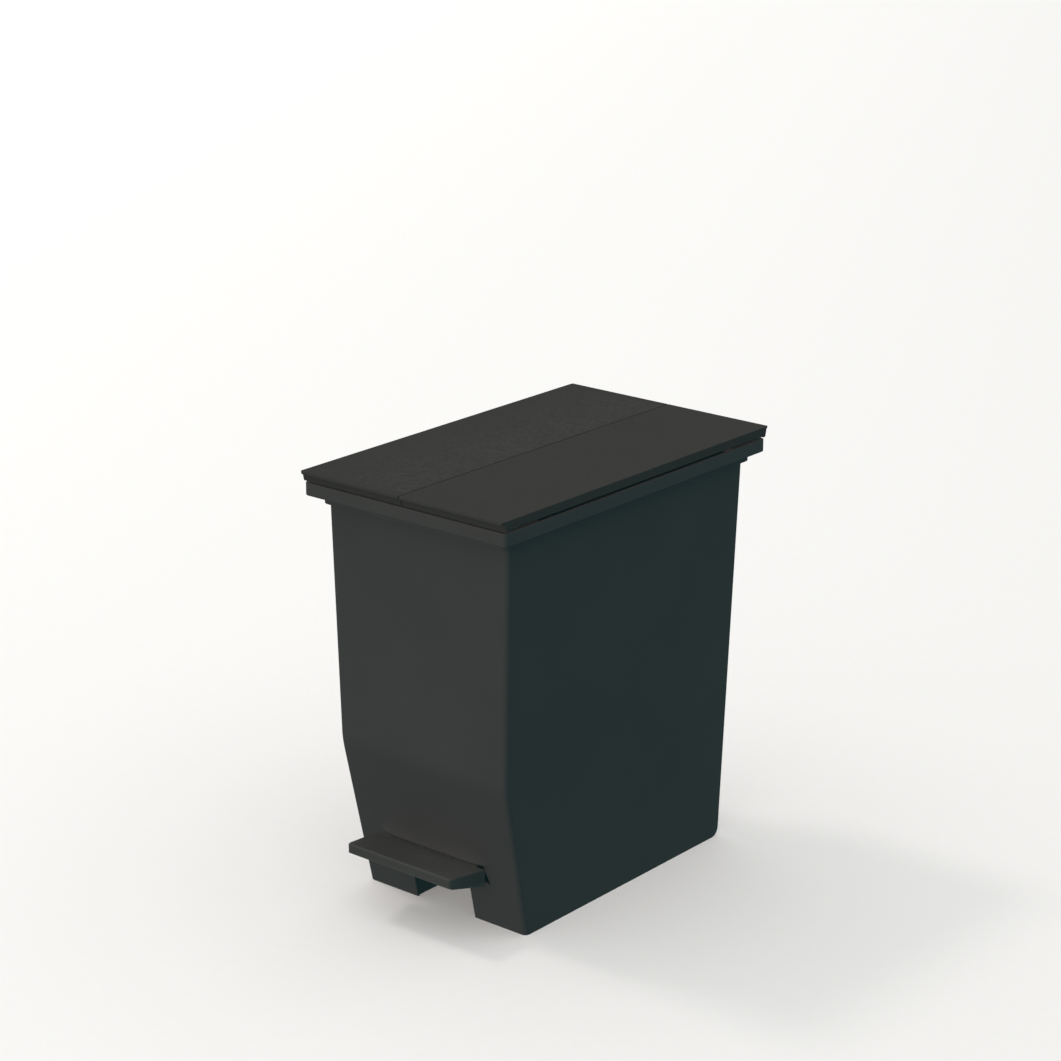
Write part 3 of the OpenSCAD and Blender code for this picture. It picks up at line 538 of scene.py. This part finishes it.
def lid_ribs():
    """Cross ribs under the plate, tapered to 1 mm at their lower edge, and the two bosses for the lifting arm."""
    parts = []
    for y in np.linspace(-lid_hd + 55 * MM, lid_hd - 55 * MM, 5):
        if abs(y - rod_y) < 12 * MM:
            continue
        rib = [(seam_x + 1 * MM, plate_z + 0.5 * MM), (seam_x + 1 * MM, plate_z - 3.5 * MM),
               (hinge_x - 14 * MM, plate_z - 3.5 * MM), (hinge_x - 11 * MM, plate_z + 0.5 * MM)]
        outline = soften(rib, [0.1 * MM, 0.1 * MM, 4 * MM, 0.1 * MM])
        parts.append(bar(outline, "y", y - 0.8 * MM, y + 0.8 * MM, 0.35 * MM))
    for dx in (-33 * MM, -10 * MM):
        rings = [rounded_rect(r, rod_y - r, rod_y + r, 0.999 * r, z, 6) + (hinge_x + dx, 0, 0)
                 for r, z in ((3.8 * MM, plate_z + 0.5 * MM), (3.5 * MM, plate_z - 1 * MM), (3.3 * MM, hinge_z))]
        parts.append(loft(rings))
    return join(*parts)


def lid_knuckles():
    """Knuckles at both sides of each hinge eye: half a disc round the pin under a block that meets the plate."""
    a = arc(12, 180, 360)
    r = 3.2 * MM
    outline = np.concatenate([np.column_stack([r * np.cos(a), r * np.sin(a)]),
                              [(r, plate_z - hinge_z + 0.5 * MM), (-r, plate_z - hinge_z + 0.5 * MM)]])
    outline = dense(outline, 1 * MM)
    parts = []
    for s in (-1, 1):
        for side in (-1, 1):
            inner_y = s * eye_y + side * (eye_l / 2 + fit)
            outer_y = inner_y + side * knuckle_l
            points, faces = bored(outline, (0, 0), 1.3 * MM, "y", min(inner_y, outer_y), max(inner_y, outer_y))
            parts.append((points + (hinge_x, 0, hinge_z), faces))
    return join(*parts)


for side_name, turn in (("right", lambda part: part), ("left", mirrored)):
    body = f"lid_{side_name}"
    lid = piece(f"{body}_panel", turn(lid_tray()), body, "anthracite_lid", [body])
    edge = lid.modifiers.new("edges", "BEVEL")
    edge.width, edge.segments, edge.limit_method, edge.angle_limit = lid_fillet, 3, "ANGLE", math.radians(30)
    edge.harden_normals = True
    piece(f"{body}_ribs", turn(lid_ribs()), body, "anthracite_lid")
    piece(f"{body}_knuckles", turn(lid_knuckles()), body, "anthracite_lid")

# ---------------------------------------------------------------- pedal

pedal_front, neck_rear = pedal_lo.y - mid_y, pedal_hi.y - mid_y
pedal_d = 43.5 * MM
pedal_rear = pedal_front + pedal_d
neck_hw = slot_top_hw - 2 * MM
neck_t = 2 * MM
pedal_z = pedal_hi.z
pedal_hw_rear = pedal_hi.x
pedal_flare = 3.5 * MM
pedal_fall = 4.5 * MM
pedal_t = 2.4 * MM


def tread_z(y):
    return pedal_z - pedal_fall * (y - pedal_front) / pedal_d


def pedal_hw(y):
    return pedal_hw_rear - pedal_flare * (pedal_rear - y) / pedal_d


def pedal_edge(y):
    """Lower edge of the pedal's wall: a short chamfer at the front, then a straight fall to the rear."""
    chamfer = pedal_front + 4 * MM
    return np.where(y < chamfer, pedal_z - 9.2 * MM - (y - pedal_front) * 0.4,
                    pedal_z - 10.8 * MM - (y - chamfer) * (9.7 * MM / (pedal_rear - chamfer)))


def pedal_rings(inset, r):
    """U-shaped rings, open to the rear: the wall from its lower edge up, a quarter circle of radius r, and the tread,
    whose rings shrink onto its middle line. Ring point = outline moved in by d, at the wall's or the tread's height."""
    plan_r = max(3 * MM - inset, 0.8 * MM)

    def outline(d, pull):
        rear = pedal_rear
        front = pedal_front + inset + d + pull * (pedal_d - inset - d) * 0.8
        side_y = np.linspace(rear, front + plan_r, 13)
        half = (pedal_hw(side_y) - inset - d) * (1 - pull)
        c = arc(6)
        corner_x = (pedal_hw(front) - inset - d) * (1 - pull)
        rc = plan_r * (1 - pull)
        turn_x, turn_y = corner_x - rc + rc * np.cos(c[1:]), front + plan_r - plan_r * np.sin(c[1:])
        right = np.concatenate([np.column_stack([half, side_y]), np.column_stack([turn_x, turn_y])])
        across = np.linspace(corner_x - rc, -(corner_x - rc), 25)[1:-1]
        middle = np.column_stack([across, np.full(23, front)])
        return np.concatenate([right, middle, (right * (-1, 1))[::-1]])

    rings = []
    for share in np.linspace(0, 1, 5):
        xy = outline(0, 0)
        low, high = pedal_edge(xy[:, 1]), tread_z(xy[:, 1]) - inset - r
        rings.append(np.column_stack([xy, low + (high - low) * share]))
    for t in arc(5)[1:]:
        xy = outline(r * (1 - math.cos(t)), 0)
        rings.append(np.column_stack([xy, tread_z(xy[:, 1]) - inset - r * (1 - math.sin(t))]))
    for pull in np.linspace(0, 1, 8)[1:]:
        xy = outline(r, pull)
        rings.append(np.column_stack([xy, tread_z(xy[:, 1]) - inset]))
    return np.array(rings)


cover, lining = pedal_rings(0, 1.4 * MM), pedal_rings(pedal_t, 0.6 * MM)
keep = np.ones((len(cover) - 1, cover.shape[1]), bool)
piece("pedal_tread", shell(cover, lining, keep, closed=False, crown=True), "pedal", "anthracite_pedal", ["pedal"])
neck = [(pedal_rear - 1 * MM, tread_z(pedal_rear - 1 * MM)), (neck_rear, tread_z(neck_rear))]
neck += [(y, z - neck_t) for y, z in reversed(neck)]
piece("pedal_neck", bar(neck, "x", -neck_hw, neck_hw, 0.3 * MM), "pedal", "anthracite_pedal")


def lever_front(y):
    """Top edge of the lever's flanges ahead of its pivot: a straight line that rises slightly to the front."""
    return pivot_z + 5 * MM - 0.0724 * (y - pivot_y)


y0, y1 = pedal_front + pedal_t - 0.3 * MM, pedal_rear - 0.2 * MM
seat_block = [(y0, tread_z(y0) - 1 * MM), (y1, tread_z(y1) - 1 * MM), (y1, lever_front(y1)), (y0, lever_front(y0))]
under = [bar(seat_block, "x", -16 * MM, 16 * MM)]
rib = [(y0, tread_z(y0) - 1 * MM), (y1, tread_z(y1) - 1 * MM), (y1, 57 * MM), (y0, 60 * MM)]
under += [bar(rib, "x", x - 0.8 * MM, x + 0.8 * MM, 0.2 * MM) for x in (-48 * MM, -32 * MM, 32 * MM, 48 * MM)]
piece("pedal_seat", join(*under), "pedal", "anthracite_pedal")

# ---------------------------------------------------------------- inner bucket

bucket_gap, bucket_t = 3 * MM, 1.8 * MM
bucket_rear = bucket_hi.y - mid_y - 1.4 * MM
base_z, brim_z = bucket_lo.z, bucket_hi.z
inset = wall + bucket_gap
foot = arc(5)
brim_r = 1.4 * MM
levels = np.concatenate([base_z + 5 * MM * (1 - np.cos(foot)),
                         steps(base_z + 5 * MM, knee_z - knee_soft, 6, knee_z + knee_soft, 8, brim_z - 28 * MM, 5,
                               brim_z - 14 * MM, 2, brim_z - 6.5 * MM, 2)[1:]])
draw_in = np.concatenate([5 * MM * (1 - np.sin(foot)), np.zeros(len(levels) - len(foot))])
under_brim = [brim_z - 5.5 * MM, brim_z - 5 * MM, brim_z - 3 * MM]
roll = arc(4)
out_z = np.concatenate([levels, under_brim, brim_z - brim_r * (1 - np.sin(roll))])
out_in = np.concatenate([inset + draw_in, [inset, inset - brim_r, inset - brim_r],
                         inset - brim_r + brim_r * (1 - np.cos(roll))])
thick = inset + bucket_t
in_z = np.concatenate([np.maximum(levels, base_z + bucket_t), under_brim, brim_z - 0.9 * MM * (1 - np.sin(roll))])
in_in = np.concatenate([thick + draw_in, [thick] * 3, thick - 0.9 * MM * (1 - np.cos(roll))])
outside = wall_grid(out_z, out_in, 0, bucket_rear, 10 * MM)
lining = wall_grid(in_z, in_in, 0, bucket_rear - bucket_t, 8.5 * MM)
keep = np.ones((len(out_z) - 1, outside.shape[1]), bool)
grip_rows = (out_z[:-1] + out_z[1:]) / 2 > brim_z - 14 * MM
right_grip = 2 * HALF + CORNER + SIDE_COLS[0]
left_grip = right_grip + sum(SIDE_COLS[1:]) + 2 * CORNER + REAR_COLS + SIDE_COLS[2]
for first in (right_grip, left_grip):
    keep[np.ix_(grip_rows, np.arange(first, first + SIDE_COLS[1]))] = False
piece("bucket_shell", shell(outside, lining, keep, base=True), "body", "bucket_plastic", ["inner_bucket"])

# ---------------------------------------------------------------- shared effects


def group(name, inputs, outputs):
    """Empty shader node group with float or colour sockets, given as (name, kind, default)."""
    tree = bpy.data.node_groups.new(name, "ShaderNodeTree")
    for direction, sockets in (("INPUT", inputs), ("OUTPUT", outputs)):
        for label, kind, value in sockets:
            socket = tree.interface.new_socket(label, in_out=direction, socket_type=f"NodeSocket{kind}")
            if value is not None:
                socket.default_value = value
    return tree, tree.nodes.new("NodeGroupInput"), tree.nodes.new("NodeGroupOutput")


def node(tree, kind, **settings):
    made_node = tree.nodes.new(f"ShaderNode{kind}")
    for key, value in settings.items():
        if key.startswith("in_"):
            made_node.inputs[int(key[3:])].default_value = value
        else:
            setattr(made_node, key, value)
    return made_node


def maths(tree, operation, a, b=None, c=None, clamp=False):
    """Math node; a, b and c are numbers or sockets."""
    n = node(tree, "Math", operation=operation, use_clamp=clamp)
    for k, value in enumerate((a, b, c)):
        if value is None:
            continue
        if isinstance(value, (int, float)):
            n.inputs[k].default_value = value
        else:
            tree.links.new(value, n.inputs[k])
    return n.outputs[0]


def noise(tree, vector, scale, detail=2.0, rough=0.5):
    n = node(tree, "TexNoise", in_2=scale, in_3=detail, in_4=rough)
    if isinstance(scale, bpy.types.NodeSocket):
        tree.links.new(scale, n.inputs["Scale"])
    tree.links.new(vector, n.inputs["Vector"])
    return n.outputs["Fac"]


def make_grain():
    """Spark-eroded mould texture: fine noise and small rounded pits, as a height, with slow patches as a mask."""
    tree, inp, out = group("moulded_grain", [("Grains per metre", "Float", 1500.0), ("Pits", "Float", 0.5)],
                           [("Height", "Float", None), ("Patches", "Float", None)])
    spot = node(tree, "TexCoord").outputs["Object"]
    fine = node(tree, "TexNoise", in_3=3.0, in_4=0.6)
    pits = node(tree, "TexVoronoi", feature="SMOOTH_F1")
    for n in (fine, pits):
        tree.links.new(spot, n.inputs["Vector"])
    tree.links.new(inp.outputs[0], fine.inputs["Scale"])
    tree.links.new(maths(tree, "MULTIPLY", inp.outputs[0], 0.6), pits.inputs["Scale"])
    depth = maths(tree, "MULTIPLY", pits.outputs["Distance"], inp.outputs[1])
    tree.links.new(maths(tree, "ADD", fine.outputs["Fac"], depth), out.inputs[0])
    patches = noise(tree, spot, 9.0, 4.0, 0.55)
    ramp = node(tree, "MapRange", in_1=0.35, in_2=0.65)
    tree.links.new(patches, ramp.inputs[0])
    tree.links.new(ramp.outputs[0], out.inputs[1])
    return tree


def make_wear():
    """Rubbed edges: sharp convex places, broken up by noise. Mask = clamp((pointiness - 0.5) gain) noise."""
    tree, inp, out = group("rubbed_edges", [("Gain", "Float", 12.0), ("Breakup per metre", "Float", 220.0)],
                           [("Mask", "Float", None)])
    spot = node(tree, "TexCoord").outputs["Object"]
    point = node(tree, "NewGeometry").outputs["Pointiness"]
    rise_part = maths(tree, "MULTIPLY", maths(tree, "SUBTRACT", point, 0.51), inp.outputs[0], clamp=True)
    grit = node(tree, "TexNoise", in_3=4.0, in_4=0.6)
    tree.links.new(spot, grit.inputs["Vector"])
    tree.links.new(inp.outputs[1], grit.inputs["Scale"])
    grit_mask = node(tree, "MapRange", in_1=0.38, in_2=0.62)
    tree.links.new(grit.outputs["Fac"], grit_mask.inputs[0])
    tree.links.new(maths(tree, "MULTIPLY", rise_part, grit_mask.outputs[0], clamp=True), out.inputs[0])
    return tree


def make_dust():
    """Fine dust on what faces up: clamp of the normal's height, times two noises of different size."""
    tree, inp, out = group("settled_dust", [("Amount", "Float", 0.5)], [("Mask", "Float", None)])
    spot = node(tree, "TexCoord").outputs["Object"]
    normal = node(tree, "NewGeometry").outputs["Normal"]
    split = node(tree, "SeparateXYZ")
    tree.links.new(normal, split.inputs[0])
    up = node(tree, "MapRange", in_1=0.6, in_2=1.0)
    tree.links.new(split.outputs[2], up.inputs[0])
    cloud = node(tree, "MapRange", in_1=0.42, in_2=0.72)
    tree.links.new(noise(tree, spot, 14.0, 5.0, 0.6), cloud.inputs[0])
    specks = node(tree, "MapRange", in_1=0.6, in_2=0.72)
    tree.links.new(noise(tree, spot, 1400.0, 1.0, 0.5), specks.inputs[0])
    both = maths(tree, "ADD", cloud.outputs[0], maths(tree, "MULTIPLY", specks.outputs[0], 0.6))
    mask = maths(tree, "MULTIPLY", both, up.outputs[0])
    tree.links.new(maths(tree, "MULTIPLY", mask, inp.outputs[0], clamp=True), out.inputs[0])
    return tree


def make_brushing():
    """Drawn or rolled metal: long fine streaks along one axis, as a height, and a slow tone drift as a mask."""
    tree, inp, out = group("drawn_streaks", [("Streaks", "Vector", (40.0, 40.0, 2500.0))],
                           [("Height", "Float", None), ("Drift", "Float", None)])
    spot = node(tree, "TexCoord").outputs["Object"]
    stretch = node(tree, "VectorMath", operation="MULTIPLY")
    tree.links.new(spot, stretch.inputs[0])
    tree.links.new(inp.outputs[0], stretch.inputs[1])
    tree.links.new(noise(tree, stretch.outputs[0], 1.0, 3.0, 0.6), out.inputs[0])
    tree.links.new(noise(tree, spot, 60.0, 4.0, 0.6), out.inputs[1])
    return tree


GRAIN, WEAR, DUST, STREAKS = make_grain(), make_wear(), make_dust(), make_brushing()


def placed_group(tree, shared, **values):
    n = tree.nodes.new("ShaderNodeGroup")
    n.node_tree = shared
    for key, value in values.items():
        n.inputs[key.replace("_", " ")].default_value = value
    return n


def blend(tree, mask, first, second):
    """Colour mix: first where the mask is 0, second where it is 1. Either may be a socket or a colour."""
    mix = node(tree, "Mix", data_type="RGBA")
    tree.links.new(mask, mix.inputs["Factor"])
    for value, socket in ((first, mix.inputs[6]), (second, mix.inputs[7])):
        if isinstance(value, bpy.types.NodeSocket):
            tree.links.new(value, socket)
        else:
            socket.default_value = (*value, 1)
    return mix.outputs[2]


def start_material(name):
    material = bpy.data.materials.new(name)
    material.use_nodes = True
    tree = material.node_tree
    return material, tree, tree.nodes["Principled BSDF"]


def bump(tree, shader, height, strength, distance):
    n = node(tree, "Bump")
    n.inputs["Strength"].default_value = strength
    n.inputs["Distance"].default_value = distance
    tree.links.new(height, n.inputs["Height"])
    tree.links.new(n.outputs[0], shader.inputs["Normal"])


def plastic(name, colour, rough, grains=1500.0, pits=0.5, depth=0.05, wear=0.2, dust=0.05, drift=0.035, shine=0.05):
    """Moulded plastic: two near tones in slow patches, lighter rubbed edges, a little dust, grained gloss."""
    material, tree, shader = start_material(name)
    grain = placed_group(tree, GRAIN, Grains_per_metre=grains, Pits=pits)
    worn = placed_group(tree, WEAR)
    dusty = placed_group(tree, DUST, Amount=dust)
    base = np.array(colour)
    tone = blend(tree, grain.outputs["Patches"], tuple(base * (1 - drift)), tuple(base * (1 + drift)))
    rubbed = blend(tree, maths(tree, "MULTIPLY", worn.outputs[0], wear), tone, tuple(base * 1.8 + 0.01))
    top = blend(tree, dusty.outputs[0], rubbed, tuple(base * 0.6 + (0.05, 0.047, 0.042)))
    tree.links.new(top, shader.inputs["Base Color"])
    patch_rough = maths(tree, "MULTIPLY_ADD", grain.outputs["Patches"], 0.06, rough - 0.03)
    less = maths(tree, "MULTIPLY", worn.outputs[0], -0.10)
    more = maths(tree, "MULTIPLY", dusty.outputs[0], 0.2)
    total = maths(tree, "ADD", maths(tree, "ADD", patch_rough, less), more, clamp=True)
    tree.links.new(total, shader.inputs["Roughness"])
    shader.inputs["Specular IOR Level"].default_value = shine
    bump(tree, shader, grain.outputs["Height"], depth * 6, 0.05 * MM)
    return material


def steel(name, colour, rough, streaks):
    """Plated steel: fine drawn streaks in the height and the roughness, a slow tone drift, dulled at the edges."""
    material, tree, shader = start_material(name)
    lines = placed_group(tree, STREAKS, Streaks=streaks)
    worn = placed_group(tree, WEAR, Gain=8.0)
    tone = blend(tree, lines.outputs["Drift"], colour, tuple(np.array(colour) * (0.7, 0.66, 0.55)))
    tree.links.new(blend(tree, maths(tree, "MULTIPLY", worn.outputs[0], 0.3), tone, (0.75, 0.75, 0.74)),
                   shader.inputs["Base Color"])
    tree.links.new(maths(tree, "MULTIPLY_ADD", lines.outputs["Height"], 0.18, rough - 0.09), shader.inputs["Roughness"])
    shader.inputs["Metallic"].default_value = 1.0
    bump(tree, shader, lines.outputs["Height"], 0.25, 0.03 * MM)
    return material


def rubber(name, colour):
    """Soft moulded rubber: dull, finely pitted, greyer on top where dust holds."""
    return plastic(name, colour, 0.82, grains=900.0, pits=0.9, depth=0.09, wear=0.15, dust=0.5, drift=0.2, shine=0.25)


FINISH = {
    "anthracite_body": plastic("anthracite_body", (0.0400, 0.0415, 0.0411), 0.52, grains=1300.0, depth=0.05),
    "anthracite_frame": plastic("anthracite_frame", (0.0428, 0.0435, 0.0426), 0.50, grains=1500.0, depth=0.04),
    "anthracite_lid": plastic("anthracite_lid", (0.0365, 0.0372, 0.0355), 0.50, grains=1500.0, depth=0.02,
                              dust=0.03, drift=0.012, shine=0.0),
    "anthracite_pedal": plastic("anthracite_pedal", (0.0405, 0.0430, 0.0405), 0.48, grains=1100.0, depth=0.06,
                                wear=0.4, dust=0.3),
    "arm_plastic": plastic("arm_plastic", (0.018, 0.018, 0.018), 0.45, grains=1800.0, depth=0.03, wear=0.5),
    "bucket_plastic": plastic("bucket_plastic", (0.115, 0.125, 0.130), 0.42, grains=700.0, depth=0.03, wear=0.2),
    "guide_plastic": plastic("guide_plastic", (0.62, 0.60, 0.54), 0.38, grains=1600.0, depth=0.03,
                             wear=0.1, drift=0.04),
    "zinc_steel": steel("zinc_steel", (0.48, 0.49, 0.50), 0.38, (900.0, 30.0, 900.0)),
    "pin_steel": steel("pin_steel", (0.60, 0.60, 0.59), 0.24, (2200.0, 2200.0, 60.0)),
    "screw_steel": steel("screw_steel", (0.55, 0.55, 0.54), 0.30, (1500.0, 1500.0, 1500.0)),
    "black_rubber": rubber("black_rubber", (0.014, 0.014, 0.014)),
}


def dress(obj, slot):
    if not obj.data.materials:
        obj.data.materials.append(None)
    for k in range(len(obj.data.materials)):
        obj.material_slots[k].material = FINISH[slot]


for obj in made.values():
    dress(obj, own_slot[obj.name])
for part in frame["record"]["subparts"]:
    dress(frame["nodes"][part["node"]], part["material_slot"])

# ---------------------------------------------------------------- floor, light and camera

floor_mesh = bpy.data.meshes.new("studio_floor")
half = 12.0  # metres
floor_mesh.from_pydata([(-half, -half, 0), (half, -half, 0), (half, half, 0), (-half, half, 0)], [], [(0, 1, 2, 3)])
studio_floor = bpy.data.objects.new("studio_floor", floor_mesh)
bpy.context.scene.collection.objects.link(studio_floor)
material, tree, shader = start_material("pale_floor")
spot = node(tree, "TexCoord").outputs["Object"]
place = node(tree, "SeparateXYZ")
tree.links.new(spot, place.inputs[0])
# The floor's grey under the object, and how much it changes per metre to the right and to the rear: painted light
# falloff that makes the floor darker towards the right and the rear
floor_grey, painted_falloff_per_x, painted_falloff_per_y, speckle = 0.77, -0.0396, -0.0201, 0.02
shade = maths(tree, "MULTIPLY_ADD", place.outputs["X"], painted_falloff_per_x, floor_grey)
shade = maths(tree, "MULTIPLY_ADD", place.outputs["Y"], painted_falloff_per_y, shade)
shade = maths(tree, "MULTIPLY_ADD", noise(tree, spot, 90.0, 3.0, 0.5), speckle, shade)
tree.links.new(blend(tree, shade, (0.0, 0.0, 0.0), (1.0, 1.0, 1.0)), shader.inputs["Base Color"])
shader.inputs["Roughness"].default_value = 0.9
shader.inputs["Specular IOR Level"].default_value = 0.1
floor_mesh.materials.append(material)
studio_floor.visible_glossy = studio_floor.visible_diffuse = False

world = bpy.data.worlds.new("studio")
bpy.context.scene.world = world
world.use_nodes = True
sky = world.node_tree.nodes["Background"]
GROUND, HORIZON, ZENITH = (0.19, 0.33, 0.34), (0.42, 0.45, 0.445), (0.91, 0.935, 0.925)
parts_of_ray = node(world.node_tree, "SeparateXYZ")
world.node_tree.links.new(node(world.node_tree, "TexCoord").outputs["Generated"], parts_of_ray.inputs[0])


def between(low, high):
    """Mask that goes smoothly from 0 to 1 as the ray's upward part goes from low to high."""
    ramp = node(world.node_tree, "MapRange", interpolation_type="SMOOTHSTEP")
    ramp.inputs["From Min"].default_value, ramp.inputs["From Max"].default_value = low, high
    world.node_tree.links.new(parts_of_ray.outputs["Z"], ramp.inputs["Value"])
    return ramp.outputs[0]


ground_up = blend(world.node_tree, between(-0.05, 0.05), GROUND, HORIZON)
world.node_tree.links.new(blend(world.node_tree, between(0.15, 0.75), ground_up, ZENITH), sky.inputs["Color"])


def sun(name, towards, energy, colour, angle, shadow=True):
    """Sun that shines from a direction, given as (azimuth, elevation) in degrees, and looks angle degrees wide."""
    azimuth, elevation = (math.radians(v) for v in towards)
    level = math.cos(elevation)
    off = Vector((math.sin(azimuth) * level, -math.cos(azimuth) * level, math.sin(elevation)))
    light = bpy.data.lights.new(name, "SUN")
    light.energy, light.color, light.use_shadow = energy, colour, shadow
    light.angle = math.radians(angle)
    obj = bpy.data.objects.new(name, light)
    obj.location = Vector((0, 0, top_z / 2)) + off * sun_distance
    obj.rotation_euler = (-off).to_track_quat("-Z", "Y").to_euler()
    bpy.context.scene.collection.objects.link(obj)


sun_distance = 3.0
# The two fills cast no shadow, so they also reach surfaces that the object itself hides from them
sun("key", (-80, 54), 0.47, (1.0, 0.92, 0.90), 9)
sun("front_fill", (-20, 25), 2.2, (1.0, 0.88, 0.83), 20, shadow=False)
sun("side_fill", (95, 5), 0.45, (0.1, 0.85, 1.0), 20, shadow=False)

camera_data = bpy.data.cameras.new("camera")
camera_data.lens, camera_data.sensor_width = 98.32, 36
camera_data.clip_start, camera_data.clip_end = 0.05, 60
camera = bpy.data.objects.new("camera", camera_data)
turn, tilt, distance = math.radians(39.86), math.radians(18.17), 2.7506
aim = Vector((-0.05265, 0.04911 + mid_y, top_z - 0.10321))
back = Vector((math.sin(turn) * math.cos(tilt), -math.cos(turn) * math.cos(tilt), math.sin(tilt)))
camera.location = aim + back * distance
camera.rotation_euler = (-back).to_track_quat("-Z", "Y").to_euler()
bpy.context.scene.collection.objects.link(camera)
bpy.context.scene.camera = camera

bpy.context.scene.view_settings.view_transform = "Standard"
bpy.context.scene.view_settings.look = "None"
